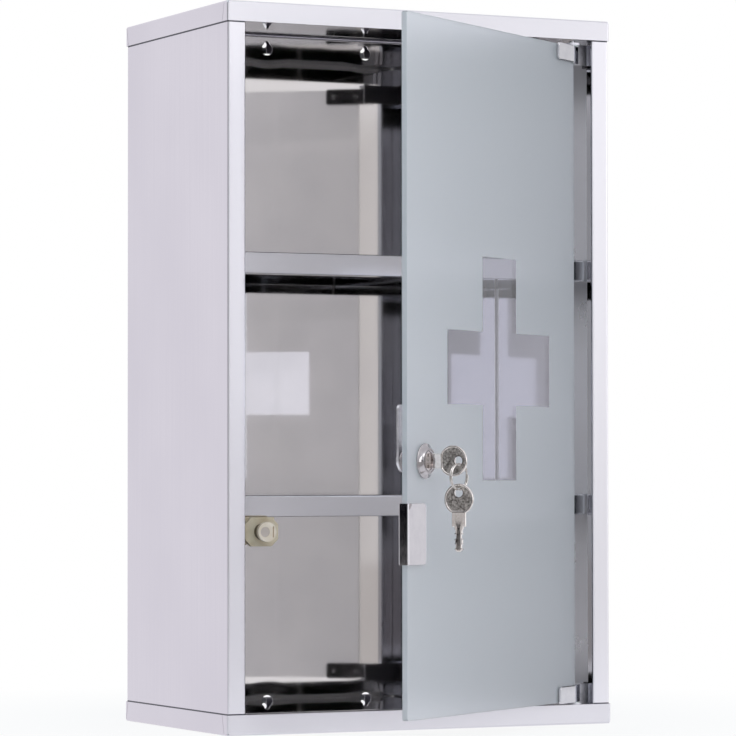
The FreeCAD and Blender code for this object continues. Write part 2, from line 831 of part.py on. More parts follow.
def catch_spring():
    # open coil of half turns, leaning to and fro, between the plunger's end and the floor of the bore
    mean = (spring_diameter - spring_wire) / 2
    room = bore_end - stem_end - 2 * spring_gap - spring_wire
    rise = room / spring_half_turns
    lean = math.degrees(math.atan2(rise / 2, mean))
    coil = []
    for step in range(spring_half_turns):
        side = 1 if step % 2 else -1
        arc = wire_arc(mean, spring_wire, quarter_turn * (side - 1), half_turn)
        arc.rotate(Vector(0, 0, 0), inward, lean * side)
        arc.translate(up * rise * (step + 1 / 2))
        coil.append(arc)
    spring = coil[0].fuse(coil[1:])
    spring.Placement = Placement(Vector(catch_x, stem_end + spring_gap + spring_wire / 2, catch_middle),
                                 Rotation(up, inward))
    return spring


def catch_screws():
    length = catch_height - catch_screw_sink + sheet + catch_screw_proud
    screws = []
    for base in catch_screw_places():
        screw = slotted_screw(catch_screw_head, catch_screw_height, catch_screw_diameter, length, catch_screw_slot)
        screw.translate(base)
        screws.append(screw)
    return Part.makeCompound(screws)


# Files

def swung(shape):
    # from the shut door to the door as it rests
    turned_shape = shape.copy()
    turned_shape.rotate(Vector(pivot_x, pivot_y, 0), up, rest_angle)
    return turned_shape


def at_head(shape):
    # the same piece at the head of the door
    return mirrored(shape, up * door_middle, up)


os.makedirs("parts", exist_ok=True)

fixed = {
    "top_cap": top_cap(),
    "bottom_cap": bottom_cap(),
    "left_side": left_side(),
    "right_side": right_side(),
    "back_panel": back_panel(),
    "upper_shelf": upper_shelf(),
    "lower_shelf": lower_shelf(),
    "catch_housing": catch_housing(),
    "catch_plunger": catch_plunger(),
    "catch_magnet": catch_magnet(),
    "catch_spring": catch_spring(),
    "catch_screws": catch_screws(),
}
on_door = {
    "door_glass": door_glass(),
    "strike_clip": strike_clip(),
    "strike_liner": strike_liner(),
    "lock_housing": lock_housing(),
    "lock_gasket": lock_gasket(),
    "lock_washer": lock_washer(),
    "lock_nut": lock_nut(),
    "lock_plug": lock_plug(),
    "cam_lever": cam_lever(),
    "cam_screw": cam_screw(),
    "key": key(),
    "split_ring": split_ring(),
    "spare_key": spare_key(),
}
for name, make, moves in (("hinge_bracket", hinge_bracket_bottom, False),
                          ("pivot_bush", pivot_bush_bottom, False),
                          ("pivot_pin", pivot_pin_bottom, True),
                          ("hinge_clamp", hinge_clamp_bottom, True),
                          ("clamp_pads", clamp_pads_bottom, True),
                          ("clamp_screws", clamp_screws_bottom, True)):
    group = on_door if moves else fixed
    group[name + "_bottom"] = make()
    group[name + "_top"] = at_head(group[name + "_bottom"])

for name, shape in fixed.items():
    shape.exportStep("parts/" + name + ".step")
for name, shape in on_door.items():
    swung(shape).exportStep("parts/" + name + ".step")
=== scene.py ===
import bmesh
import bpy
import json
import math
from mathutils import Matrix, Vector


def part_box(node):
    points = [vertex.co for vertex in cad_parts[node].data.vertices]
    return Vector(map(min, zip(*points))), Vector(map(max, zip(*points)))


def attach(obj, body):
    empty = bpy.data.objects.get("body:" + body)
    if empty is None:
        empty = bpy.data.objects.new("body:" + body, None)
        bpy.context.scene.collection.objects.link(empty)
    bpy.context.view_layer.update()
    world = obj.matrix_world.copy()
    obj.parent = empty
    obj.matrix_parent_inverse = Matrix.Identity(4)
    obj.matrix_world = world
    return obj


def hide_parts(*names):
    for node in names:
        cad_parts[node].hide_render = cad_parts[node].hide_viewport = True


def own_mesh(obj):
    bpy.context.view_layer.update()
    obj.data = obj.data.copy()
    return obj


# Wall medicine cabinet of folded stainless steel with its frosted glass door ajar.
# The CAD frame carries the sheet metal. The lock, keys, clip, ring and spring get their own finer pieces.
# The object's dictionaries hold millimetres and degrees, the studio's and the viewpoint's places metres.

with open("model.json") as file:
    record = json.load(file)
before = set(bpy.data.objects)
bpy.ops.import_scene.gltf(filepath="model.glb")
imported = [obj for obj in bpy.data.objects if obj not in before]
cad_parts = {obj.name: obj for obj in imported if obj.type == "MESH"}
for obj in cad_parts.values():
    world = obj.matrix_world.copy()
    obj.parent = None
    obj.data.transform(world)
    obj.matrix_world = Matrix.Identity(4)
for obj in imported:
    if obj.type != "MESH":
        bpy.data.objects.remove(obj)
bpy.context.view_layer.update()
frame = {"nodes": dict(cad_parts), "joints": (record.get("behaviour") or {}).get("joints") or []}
nodes = frame["nodes"]
mm = 0.001
up = Vector((0, 0, 1))


# Shared helpers

def linearColour(hexCode):
    # sRGB hex as drawn to the linear values that a shader wants
    parts = [int(hexCode[place:place + 2], 16) / 255 for place in (1, 3, 5)]
    linear = [part / 12.92 if part <= 0.04045 else ((part + 0.055) / 1.055) ** 2.4 for part in parts]
    return (*linear, 1.0)


def perMetre(millimetres):
    # texture scale for a pattern of this real size
    return 1 / (millimetres * mm)


def linkTo(tree, node, sources):
    # each input takes a node's first output or one of its sockets
    for name, source in sources.items():
        socket = source if isinstance(source, bpy.types.NodeSocket) else source.outputs[0]
        tree.links.new(socket, node.inputs[name])


def addNode(tree, kind, settings=None, links=None):
    # one shader node, its settings or socket values, and what feeds its inputs
    node = tree.nodes.new("ShaderNode" + kind)
    for name, value in (settings or {}).items():
        if isinstance(name, str) and hasattr(node, name):
            setattr(node, name, value)
        else:
            node.inputs[name].default_value = value
    linkTo(tree, node, links or {})
    return node


def newMaterial(name, surface):
    # a Principled surface with its fixed values set on its own sockets
    material = bpy.data.materials.new(name)
    material.use_nodes = True
    tree = material.node_tree
    tree.nodes.clear()
    shader = addNode(tree, "BsdfPrincipled", surface)
    addNode(tree, "OutputMaterial", links={"Surface": shader})
    place = addNode(tree, "TexCoord").outputs["Object"]
    return material, tree, shader, place


def dress(names, material):
    for name in names:
        nodes[name].data.materials.clear()
        nodes[name].data.materials.append(material)


wornEdge = {
    "joined": 0.001,        # split corners closer than this become one
    "angle": 30,            # degrees between two faces from which their edge is worn
    "steps": 3,
}


def eased(name, width):
    # a small worn edge on a CAD node, after its split corners are joined
    weld = nodes[name].modifiers.new("join", "WELD")
    weld.merge_threshold = wornEdge["joined"] * mm
    bevelled(nodes[name], width, wornEdge["angle"])


def bevelled(piece, width, angle):
    bevel = piece.modifiers.new("edge", "BEVEL")
    bevel.width = width * mm
    bevel.segments = wornEdge["steps"]
    bevel.limit_method = "ANGLE"
    bevel.angle_limit = math.radians(angle)
    bevel.harden_normals = True


# A noise texture keeps to the middle of 0 to 1, so these spans of it are drawn out to full contrast

cloudSpan = {"From Min": 0.35, "From Max": 0.65}
grainSpan = {"From Min": 0.3, "From Max": 0.7}
productSpan = {"From Min": 0.12, "From Max": 0.4}  # of two noises multiplied


# Directions of the open door and the middle of its lock, read from the lock's joints

joints = {joint["name"]: joint for joint in frame["joints"]}
doorOut = Vector(joints["key_slide"]["axis"]).normalized()
doorAlong = Vector((-doorOut.y, doorOut.x, 0))
lockPlace = Vector(joints["lock_turn"]["pos_m"])
print("frame loaded:", len(nodes), "nodes")


# Stainless steel, satin brushed outside and bright annealed inside

brushedSteel = {
    "colour": "#E0DBE1",
    "shade": "#D8D3DA",
    "seamShade": "#55555C",      # painted shade in the gap where a cap laps over a side
    "seamWidth": 0.9,
    "seamHeight": 235.6,    # from the middle plane
    "ahead": -89.3,         # in front of this is the front
    "grainWidth": 0.9,      # real brushing is about 0.1 mm, drawn coarser so that it shows
    "grainLength": 160.0,
    "roughLow": 0.29,
    "roughHigh": 0.36,
    "depth": 0.002,
    "patch": 110.0,
}
brightSteel = {
    "roughLow": 0.03,
    "roughHigh": 0.055,
    "wave": 90.0,
    "waveDepth": 0.04,
    "smudge": 45.0,
    "dimple": 18.0,         # the sheet is drawn in round each keyhole by the punch
    "dimpleDepth": 0.06,
    "holeX": 40.0,
    "holeHeight": 238.6,    # from the middle plane
}


# Zones of each sheet in millimetres. X and height are distances from the cabinet's two middle planes, as its
# left matches its right and its top its bottom. Handled places are scuffed so that reflections blur, the
# inside of the jambs is drawn darker as painted shade, and each fold gets a painted highlight, a pale line.

middleHeight = 250.0
sheetZones = {
    "side": {
        "name": "stainless steel side, satin brushed", "grain": "Z", "front": "#E6E5EA",
        "inner": ("#D4D4D7", "#D8D8DB"),
        "outside": (("X", "GREATER_THAN", 147.9), ("Y", "LESS_THAN", -89.3), ("Y", "GREATER_THAN", 89.3)),
        "handled": {"where": (("Y", "LESS_THAN", -40.0), ("Y", "GREATER_THAN", -70.0)),
                    "colour": "#DDE1E8", "dull": 0.24},
        # painted shade: the inside of the jambs is drawn darker, for the dark that the mirror steel shows
        # there
        "jambShade": {"where": (("Y", "LESS_THAN", -70.0),), "colour": "#B8BAC2", "dull": 0.0},
        # painted highlight: a white, dulled strip at the fold into the back
        "foldHighlight": {"where": (("Y", "GREATER_THAN", 80.8),), "colour": "#FFFFFF", "dull": 0.4},
    },
    "cap": {
        "name": "stainless steel cap, satin brushed", "grain": "X", "front": "#DEDDE2",
        "inner": ("#D4D4D7", "#D8D8DB"),
        "outside": (("X", "GREATER_THAN", 148.6), ("Y", "LESS_THAN", -90.1), ("Y", "GREATER_THAN", 90.1),
                    ("height", "GREATER_THAN", 249.6)),
        # painted highlight: a white, dulled, non-metal strip along the fold inside the cap's front lip
        "foldHighlight": {"where": (("height", "GREATER_THAN", 245.9), ("Y", "LESS_THAN", -86.0)),
                 "colour": "#FFFFFF", "dull": 0.4, "metal": -0.9},
    },
    "shelf": {
        "name": "stainless steel shelf, bright annealed and handled", "grain": "X",
        "inner": ("#D4D4D7", "#D8D8DB"),
        "outside": (("X", "GREATER_THAN", 500.0),),  # wider than the cabinet: a shelf has no outside
        "handled": {"where": (("Y", "LESS_THAN", -56.2),), "colour": "#D2D1D3", "dull": 0.13},
    },
    "back": {
        "name": "stainless steel back, bright annealed", "grain": "Z",
        "inner": ("#DEDAD8", "#E3DFDC"),
        "outside": (("Y", "GREATER_THAN", 84.5),),
    },
}


def zoneMask(tree, measures, limits, joined):
    # 1 where the tests hold, all of them for MULTIPLY and any of them for MAXIMUM
    found = None
    for measure, operation, limit in limits:
        test = addNode(tree, "Math", {"operation": operation, 1: limit * mm}, {0: measures[measure]})
        found = addNode(tree, "Math", {"operation": joined}, {0: found, 1: test}) if found else test
    return found


def steelSheet(zones):
    # outside skin: satin grain along the panel, pale with a lavender cast, reflections spread to a soft glow
    # inside skin: bright annealed sheet, a clear grey mirror with slow waves from rolling and folding
    material, tree, shader, place = newMaterial(zones["name"], {"Metallic": 1.0})
    brushed, bright = brushedSteel, brightSteel
    parts = addNode(tree, "SeparateXYZ", links={0: place}).outputs
    side = addNode(tree, "Math", {"operation": "ABSOLUTE"}, {0: parts["X"]})
    height = addNode(tree, "Math", {"operation": "SUBTRACT", 1: middleHeight * mm}, {0: parts["Z"]})
    height = addNode(tree, "Math", {"operation": "ABSOLUTE"}, {0: height})
    measures = {"X": side, "Y": parts["Y"], "height": height}
    skin = zoneMask(tree, measures, zones["outside"], "MAXIMUM")

    # brushed outside, with even faces to the front
    width, length = brushed["grainWidth"], brushed["grainLength"]
    sizes = (width, width, length) if zones["grain"] == "Z" else (length, width, width)
    stretched = addNode(tree, "Mapping", {"Scale": [perMetre(size) for size in sizes]}, {"Vector": place})
    grain = addNode(tree, "TexNoise", {"Scale": 1.0, "Detail": 4.0, "Roughness": 0.6}, {"Vector": stretched})
    patch = addNode(tree, "TexNoise", {"Scale": perMetre(brushed["patch"]), "Detail": 2.0},
                    {"Vector": place})
    tone = addNode(tree, "Math", {"operation": "MULTIPLY"}, {0: grain, 1: patch})
    share = addNode(tree, "MapRange", productSpan, {"Value": tone})
    outside = addNode(tree, "Mix", {"data_type": "RGBA", 6: linearColour(brushed["shade"]),
                                    7: linearColour(brushed["colour"])}, {0: share}).outputs[2]
    outsideRough = addNode(tree, "MapRange", {**grainSpan, "To Min": brushed["roughLow"],
                                              "To Max": brushed["roughHigh"]}, {"Value": grain})
    if "front" in zones:
        ahead = addNode(tree, "Math", {"operation": "LESS_THAN", 1: brushed["ahead"] * mm}, {0: parts["Y"]})
        outside = addNode(tree, "Mix", {"data_type": "RGBA", 7: linearColour(zones["front"])},
                          {0: ahead, 6: outside}).outputs[2]

    # mirror inside, with its zones
    smudge = addNode(tree, "TexNoise", {"Scale": perMetre(bright["smudge"]), "Detail": 4.0},
                     {"Vector": place})
    spread = addNode(tree, "MapRange", cloudSpan, {"Value": smudge})
    inside = addNode(tree, "Mix", {"data_type": "RGBA", 6: linearColour(zones["inner"][0]),
                                   7: linearColour(zones["inner"][1])}, {0: spread}).outputs[2]
    insideRough = addNode(tree, "MapRange", {**cloudSpan, "To Min": bright["roughLow"],
                                             "To Max": bright["roughHigh"]}, {"Value": smudge})
    # the jamb zone paints shade and the fold zones paint a highlight into the mirror's colour and gloss
    for zone in [zones[name] for name in ("handled", "jambShade", "foldHighlight") if name in zones]:
        where = zoneMask(tree, measures, zone["where"], "MULTIPLY")
        inside = addNode(tree, "Mix", {"data_type": "RGBA", 7: linearColour(zone["colour"])},
                         {0: where, 6: inside}).outputs[2]
        insideRough = addNode(tree, "Math", {"operation": "MULTIPLY_ADD", 1: zone["dull"]},
                              {0: where, 2: insideRough})
        if "metal" in zone:
            metal = addNode(tree, "Math", {"operation": "MULTIPLY_ADD", 1: zone["metal"], 2: 1.0},
                            {0: where})
            metal = addNode(tree, "Math", {"operation": "MAXIMUM"}, {0: metal, 1: skin})
            linkTo(tree, shader, {"Metallic": metal})
    colour = addNode(tree, "Mix", {"data_type": "RGBA"}, {0: skin, 6: inside, 7: outside}).outputs[2]
    rough = addNode(tree, "Mix", {"data_type": "FLOAT"}, {0: skin, 2: insideRough, 3: outsideRough})

    # painted shade along the seam on the outside, where a cap laps over a side
    seamShade = addNode(tree, "Math", {"operation": "COMPARE", 1: brushed["seamHeight"] * mm,
                                  2: brushed["seamWidth"] / 2 * mm}, {0: height})
    seamShade = addNode(tree, "Math", {"operation": "MULTIPLY"}, {0: seamShade, 1: skin})
    colour = addNode(tree, "Mix", {"data_type": "RGBA", 7: linearColour(brushed["seamShade"])},
                     {0: seamShade, 6: colour}).outputs[2]

    # relief: slow waves, the pull round each keyhole and the combed grain of the outside
    wave = addNode(tree, "TexNoise", {"Scale": perMetre(bright["wave"]), "Detail": 0.0}, {"Vector": place})
    low = addNode(tree, "Bump", {"Strength": 1.0, "Distance": bright["waveDepth"] * mm}, {"Height": wave})
    flat = addNode(tree, "CombineXYZ", links={0: side, 2: height})
    hole = (bright["holeX"] * mm, 0, bright["holeHeight"] * mm)
    reach = addNode(tree, "VectorMath", {"operation": "DISTANCE", 1: hole}, {0: flat}).outputs["Value"]
    drawn = addNode(tree, "MapRange", {"interpolation_type": "SMOOTHSTEP",
                                       "From Max": bright["dimple"] * mm}, {"Value": reach})
    low = addNode(tree, "Bump", {"Strength": 1.0, "Distance": bright["dimpleDepth"] * mm},
                  {"Height": drawn, "Normal": low})
    combed = addNode(tree, "Math", {"operation": "MULTIPLY"}, {0: grain, 1: skin})
    normal = addNode(tree, "Bump", {"Strength": 1.0, "Distance": brushed["depth"] * mm},
                     {"Height": combed, "Normal": low})
    linkTo(tree, shader, {"Base Color": colour, "Roughness": rough, "Normal": normal})
    return material


dress(["left_side", "right_side"], steelSheet(sheetZones["side"]))
dress(["top_cap", "bottom_cap"], steelSheet(sheetZones["cap"]))
dress(["upper_shelf", "lower_shelf"], steelSheet(sheetZones["shelf"]))
dress(["back_panel"], steelSheet(sheetZones["back"]))
print("sheet metal dressed")


# Small metals: the grain is the size of the cloudy wear in millimetres, the depth its relief

smallMetals = {
    "bracket": {"colour": "#F4F3F8", "shade": "#E4E3EA", "rough": (0.5, 0.6), "grain": 2.5, "depth": 0.01,
                "rear": "#77767C", "rearShadeFrom": -75.0},  # painted shade: behind this along Y the bracket is drawn darker, for the dark inside that it mirrors
    "hinge": {"colour": "#D4D4D6", "shade": "#CCCCD0", "rough": (0.06, 0.1), "grain": 8.0, "depth": 0.002},
    "chrome": {"colour": "#DCDADD", "shade": "#D6D4D8", "rough": (0.04, 0.08), "grain": 12, "depth": 0.001},
    "pin": {"colour": "#CFCFD2", "shade": "#B4B4B9", "rough": (0.18, 0.3), "grain": 1.5, "depth": 0.01},
    "plug": {"colour": "#DAD3D2", "shade": "#BDB6B4", "rough": (0.06, 0.14), "grain": 1.2, "depth": 0.008},
    "ring": {"colour": "#D9D6D3", "shade": "#B9B5B0", "rough": (0.03, 0.07), "grain": 1.6, "depth": 0.006},
    "key": {"colour": "#EEEAE7", "shade": "#DDD8D4", "rough": (0.07, 0.14), "grain": 1.4, "depth": 0.006},
    "recess": {"colour": "#DAD5D0", "shade": "#6E6964", "rough": (0.28, 0.44), "grain": 1.5,  # drawn coarser
               "depth": 0.12},
    "lock": {"colour": "#BFBCBE", "shade": "#ABA8AA", "rough": (0.04, 0.09), "grain": 8.0, "depth": 0.002},
    "lever": {"colour": "#F0F0F4", "shade": "#E2E2E8", "rough": (0.34, 0.42), "grain": 3.0, "depth": 0.004},
    "spring": {"colour": "#B9B7B4", "shade": "#8E8C8A", "rough": (0.22, 0.35), "grain": 1.0, "depth": 0.008},
}


def smallMetal(name, kind):
    # plated or ground small parts: even metal, faint cloudy wear and a gloss that varies a little
    values = smallMetals[kind]
    material, tree, shader, place = newMaterial(name, {"Metallic": 1.0})
    cloud = addNode(tree, "TexNoise", {"Scale": perMetre(values["grain"]), "Detail": 4.0, "Roughness": 0.6},
                    {"Vector": place})
    share = addNode(tree, "MapRange", cloudSpan, {"Value": cloud})
    colour = addNode(tree, "Mix", {"data_type": "RGBA", 6: linearColour(values["shade"]),
                                   7: linearColour(values["colour"])}, {0: share}).outputs[2]
    # the bracket's rear gets a painted shade, darker for the dark inside that it mirrors
    if "rear" in values:
        parts = addNode(tree, "SeparateXYZ", links={0: place}).outputs
        behind = addNode(tree, "Math", {"operation": "GREATER_THAN", 1: values["rearShadeFrom"] * mm},
                         {0: parts["Y"]})
        colour = addNode(tree, "Mix", {"data_type": "RGBA", 7: linearColour(values["rear"])},
                         {0: behind, 6: colour}).outputs[2]
    low, high = values["rough"]
    rough = addNode(tree, "MapRange", {"To Min": low, "To Max": high}, {"Value": share})
    normal = addNode(tree, "Bump", {"Strength": 1.0, "Distance": values["depth"] * mm}, {"Height": cloud})
    linkTo(tree, shader, {"Base Color": colour, "Roughness": rough, "Normal": normal})
    return material


bracketMetal = smallMetal("stainless steel bracket, rolled and pressed", "bracket")
hingeMetal = smallMetal("zinc casting, chrome plated and tumbled", "hinge")
chrome = smallMetal("steel strip, pressed and bright chrome plated", "chrome")
lockMetal = smallMetal("zinc casting, turned and nickel plated", "lock")
leverMetal = smallMetal("steel lever, blanked and zinc plated", "lever")
pinMetal = smallMetal("steel pin, zinc plated and passivated", "pin")
plugMetal = smallMetal("brass plug, nickel plated and turned", "plug")
ringMetal = smallMetal("steel wire ring, nickel plated", "ring")
keyMetal = smallMetal("brass key, blanked and nickel plated", "key")
keyRecess = smallMetal("brass key recess, coined with a grained die", "recess")
springMetal = smallMetal("spring steel wire, hard drawn", "spring")

dress(["hinge_bracket_top", "hinge_bracket_bottom"], bracketMetal)
dress(["hinge_clamp_top", "hinge_clamp_bottom"], hingeMetal)
dress(["pivot_pin_top", "pivot_pin_bottom", "clamp_screws_top", "clamp_screws_bottom",
       "cam_screw", "catch_screws"], pinMetal)
dress(["lock_nut"], lockMetal)
dress(["cam_lever"], leverMetal)
dress(["lock_plug"], plugMetal)


# Moulded and pressed small parts that are not metal

smallPlastics = {
    "nylon": {"colour": "#ECEBE6", "shade": "#DCDAD3", "rough": (0.38, 0.5), "grain": 1.5, "depth": 0.01},
    "pad": {"colour": "#D9DCDD", "shade": "#C7CBCC", "rough": (0.42, 0.55), "grain": 1.0, "depth": 0.01},
    "catch": {"colour": "#E9D8BC", "shade": "#D8C3A2", "rough": (0.34, 0.46), "grain": 0.9, "depth": 0.01},
    # painted shade: the plunger's stem behind its head is drawn dark for the shade in the housing's bore
    "plunger": {"colour": "#FAE8D4", "shade": "#ECD6BC", "rough": (0.3, 0.42), "grain": 0.9, "depth": 0.01,
                "stem": "#6A5A3E", "stemFrom": 3.1},  # millimetres behind the head's face
    "ferrite": {"colour": "#DCCABF", "shade": "#CBB8AB", "rough": (0.42, 0.56), "grain": 0.6, "depth": 0.02},
}
yellowedPatch = 9.0  # millimetres across


def smallPlastic(name, kind):
    # moulded parts: fine spark-eroded grain from the tool, a trace of yellowing in patches
    values = smallPlastics[kind]
    material, tree, shader, place = newMaterial(name, {"IOR": 1.5})
    grain = addNode(tree, "TexNoise", {"Scale": perMetre(values["grain"]), "Detail": 3.0}, {"Vector": place})
    patch = addNode(tree, "TexNoise", {"Scale": perMetre(yellowedPatch), "Detail": 2.0}, {"Vector": place})
    share = addNode(tree, "MapRange", grainSpan, {"Value": patch})
    colour = addNode(tree, "Mix", {"data_type": "RGBA", 6: linearColour(values["shade"]),
                                   7: linearColour(values["colour"])}, {0: share}).outputs[2]
    # the stem gets a painted shade, dark for the shade in the housing's bore
    if "stem" in values:
        parts = addNode(tree, "SeparateXYZ", links={0: place}).outputs
        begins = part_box("catch_plunger")[0].y + values["stemFrom"] * mm
        stem = addNode(tree, "Math", {"operation": "GREATER_THAN", 1: begins}, {0: parts["Y"]})
        colour = addNode(tree, "Mix", {"data_type": "RGBA", 7: linearColour(values["stem"])},
                         {0: stem, 6: colour}).outputs[2]
    low, high = values["rough"]
    rough = addNode(tree, "MapRange", {**grainSpan, "To Min": low, "To Max": high}, {"Value": grain})
    normal = addNode(tree, "Bump", {"Strength": 1.0, "Distance": values["depth"] * mm}, {"Height": grain})
    linkTo(tree, shader, {"Base Color": colour, "Roughness": rough, "Normal": normal})
    return material


nylon = smallPlastic("nylon, injection moulded", "nylon")
padStrip = smallPlastic("PVC strip, extruded", "pad")
catchPlastic = smallPlastic("polypropylene, injection moulded cream", "catch")
plungerPlastic = smallPlastic("acetal plunger, injection moulded with a greased stem", "plunger")
magnetPaint = smallPlastic("ferrite magnet, painted buff", "ferrite")
dress(["pivot_bush_top", "pivot_bush_bottom", "lock_gasket", "lock_washer"], nylon)
dress(["clamp_pads_top", "clamp_pads_bottom", "strike_liner"], padStrip)
dress(["catch_housing"], catchPlastic)
dress(["catch_plunger"], plungerPlastic)
dress(["catch_magnet"], magnetPaint)

wornWidths = {
    "hinge_clamp_top": 0.9,
    "hinge_clamp_bottom": 0.9,
    "cam_lever": 0.65,
    "catch_housing": 0.3,
    "catch_plunger": 0.3,
}
for name, width in wornWidths.items():
    eased(name, width)
print("small metals and plastics dressed")


# Toughened float glass, sandblasted in front around a clear raised cross

doorGlass = {
    "clear": "#F1F3FF",
    "frost": "#F5F1F1",
    "frostHingeShade": "#D5D2D3",  # painted shade, darker towards the hinge, where the glass turns from the light
    "frostDepth": 0.15,
    "skin": 0.05,           # either way of the blasted face
    "clearRough": 0.012,
    "frostRough": (0.399, 0.441),
    "frostThrough": 0.56,   # share of the light that the blasted skin lets through
    "grit": 0.6,            # blasting grit is about 0.1 mm, drawn coarser so that it shows
    "gritDepth": 0.006,
    "cloud": 60.0,
    "ground": 0.35,         # depth of the ground edge seen from its side
}


def glassPane():
    # blasting turns the front into a pale blue-grey haze, the cross and the back stay polished and clear
    values = doorGlass
    material, tree, shader, place = newMaterial("float glass, sandblasted and toughened", {"IOR": 1.52})
    corners = [vertex.co for vertex in nodes["door_glass"].data.vertices]
    reach = {}
    for name, way in (("out", doorOut), ("along", doorAlong), ("height", up)):
        at = addNode(tree, "VectorMath", {"operation": "DOT_PRODUCT", 1: way}, {0: place}).outputs["Value"]
        ends = [corner.dot(way) for corner in corners]
        reach[name] = (at, min(ends), max(ends))

    # the blasted skin and the ground edges
    out, _, frontFace = reach["out"]
    blastedFace = frontFace - values["frostDepth"] * mm
    skin, ground = values["skin"] * mm, values["ground"] * mm
    over = addNode(tree, "Math", {"operation": "GREATER_THAN", 1: blastedFace - skin}, {0: out})
    under = addNode(tree, "Math", {"operation": "LESS_THAN", 1: blastedFace + skin}, {0: out})
    frost = addNode(tree, "Math", {"operation": "MULTIPLY"}, {0: over, 1: under})
    for at, begins, ends in (reach["along"], reach["height"]):
        for operation, limit in (("LESS_THAN", begins + ground), ("GREATER_THAN", ends - ground)):
            edge = addNode(tree, "Math", {"operation": operation, 1: limit}, {0: at})
            frost = addNode(tree, "Math", {"operation": "MAXIMUM"}, {0: frost, 1: edge})

    cloud = addNode(tree, "TexNoise", {"Scale": perMetre(values["cloud"]), "Detail": 3.0}, {"Vector": place})
    low, high = values["frostRough"]
    haze = addNode(tree, "MapRange", {"To Min": low, "To Max": high}, {"Value": cloud})
    rough = addNode(tree, "MapRange", {"To Min": values["clearRough"]}, {"Value": frost, "To Max": haze})
    through = addNode(tree, "MapRange", {"To Min": 1.0, "To Max": values["frostThrough"]}, {"Value": frost})
    at, begins, ends = reach["along"]
    hingeward = addNode(tree, "MapRange", {"From Min": begins, "From Max": ends}, {"Value": at})
    tint = addNode(tree, "Mix", {"data_type": "RGBA", 6: linearColour(values["frost"]),
                                 7: linearColour(values["frostHingeShade"])}, {0: hingeward}).outputs[2]
    colour = addNode(tree, "Mix", {"data_type": "RGBA", 6: linearColour(values["clear"])},
                     {0: frost, 7: tint}).outputs[2]
    grit = addNode(tree, "TexNoise", {"Scale": perMetre(values["grit"]), "Detail": 2.0}, {"Vector": place})
    blasted = addNode(tree, "Math", {"operation": "MULTIPLY"}, {0: grit, 1: frost})
    normal = addNode(tree, "Bump", {"Strength": 1.0, "Distance": values["gritDepth"] * mm},
                     {"Height": blasted})
    linkTo(tree, shader, {"Base Color": colour, "Roughness": rough, "Transmission Weight": through,
                          "Normal": normal})
    return material


dress(["door_glass"], glassPane())
print("door glass dressed")


# Pieces with their own meshes

def meshPiece(name, shaped, materials, body, replaced, sharp=35):
    # a finished bmesh in the row frame that stands for the CAD node it replaces
    bmesh.ops.recalc_face_normals(shaped, faces=shaped.faces)
    mesh = bpy.data.meshes.new(name)
    shaped.to_mesh(mesh)
    shaped.free()
    mesh.shade_smooth()
    mesh.set_sharp_from_angle(angle=math.radians(sharp))
    for material in materials:
        mesh.materials.append(material)
    piece = bpy.data.objects.new(name, mesh)
    bpy.context.scene.collection.objects.link(piece)
    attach(piece, body)
    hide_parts(replaced)
    return piece


def doorPoint(across, height, out):
    # millimetres from the lock's axis on the glass: towards the hinge, up, and out of the door
    return lockPlace + doorAlong * (across * mm) + up * (height * mm) + doorOut * (out * mm)


def joinRings(shaped, rings):
    # quads between each pair of closed rings that hold the same number of vertices
    for low, high in zip(rings, rings[1:]):
        for step in range(len(low)):
            after = (step + 1) % len(low)
            shaped.faces.new((low[step], low[after], high[after], high[step]))


# Cam lock: bezel with a hollow cone rim, face ring, and a threaded barrel behind the glass

lockBody = {
    "bezelBase": 0.4, "bezelRadius": 11.7, "faceRadius": 8.5, "face": 3.9,
    "faceEdge": ((0.35, 0.0), (0.1, 0.1), (0.0, 0.3)),  # in from the face's radius, and down
    "footBead": ((0.5, 0.8), (0.12, 0.6), (0.0, 0.35), (0.15, 0.0)),  # in from the bezel's radius, and up
    "hollow": 0.85, "hollowSteps": 6,  # the rim between the two falls in a hollow cone
    "grooveRadius": 7.3, "grooveWidth": 0.5, "grooveDepth": 0.4, "bore": 6.1, "boreEdge": 0.2,
    "barrel": 8.0, "back": -15.0, "backEdge": 0.4, "tailBore": 4.3, "innerStop": -10.0,
    "threadStart": -4.2, "threadNeck": 0.4, "threadPitch": 1.0, "threadDepth": 0.45,
    "turnSteps": 72, "rowsPerTurn": 8,
}


def lockProfile():
    # radius and height of the turned front, from the bore over the face and the rim to the barrel
    values = lockBody
    face, bore, edge = values["face"], values["bore"], values["boreEdge"]
    groove, half, grooveBed = values["grooveRadius"], values["grooveWidth"] / 2, face - values["grooveDepth"]
    profile = [(bore, values["innerStop"]), (bore, face - edge), (bore + edge, face), (groove - half, face),
               (groove - half / 2, grooveBed), (groove + half / 2, grooveBed), (groove + half, face)]
    profile += [(values["faceRadius"] - back, face - drop) for back, drop in values["faceEdge"]]
    inward, rise = values["footBead"][0]
    top, foot = profile[-1][1], values["bezelBase"] + rise
    reach = values["bezelRadius"] - inward - values["faceRadius"]
    for step in range(1, values["hollowSteps"] + 1):
        share = step / values["hollowSteps"]
        fall = (top - foot) * share ** values["hollow"]
        profile.append((values["faceRadius"] + reach * share, top - fall))
    profile += [(values["bezelRadius"] - back, values["bezelBase"] + rise)
                for back, rise in values["footBead"][1:]]
    profile += [(values["barrel"], values["bezelBase"]),
                (values["barrel"], values["threadStart"] + values["threadNeck"])]
    return profile


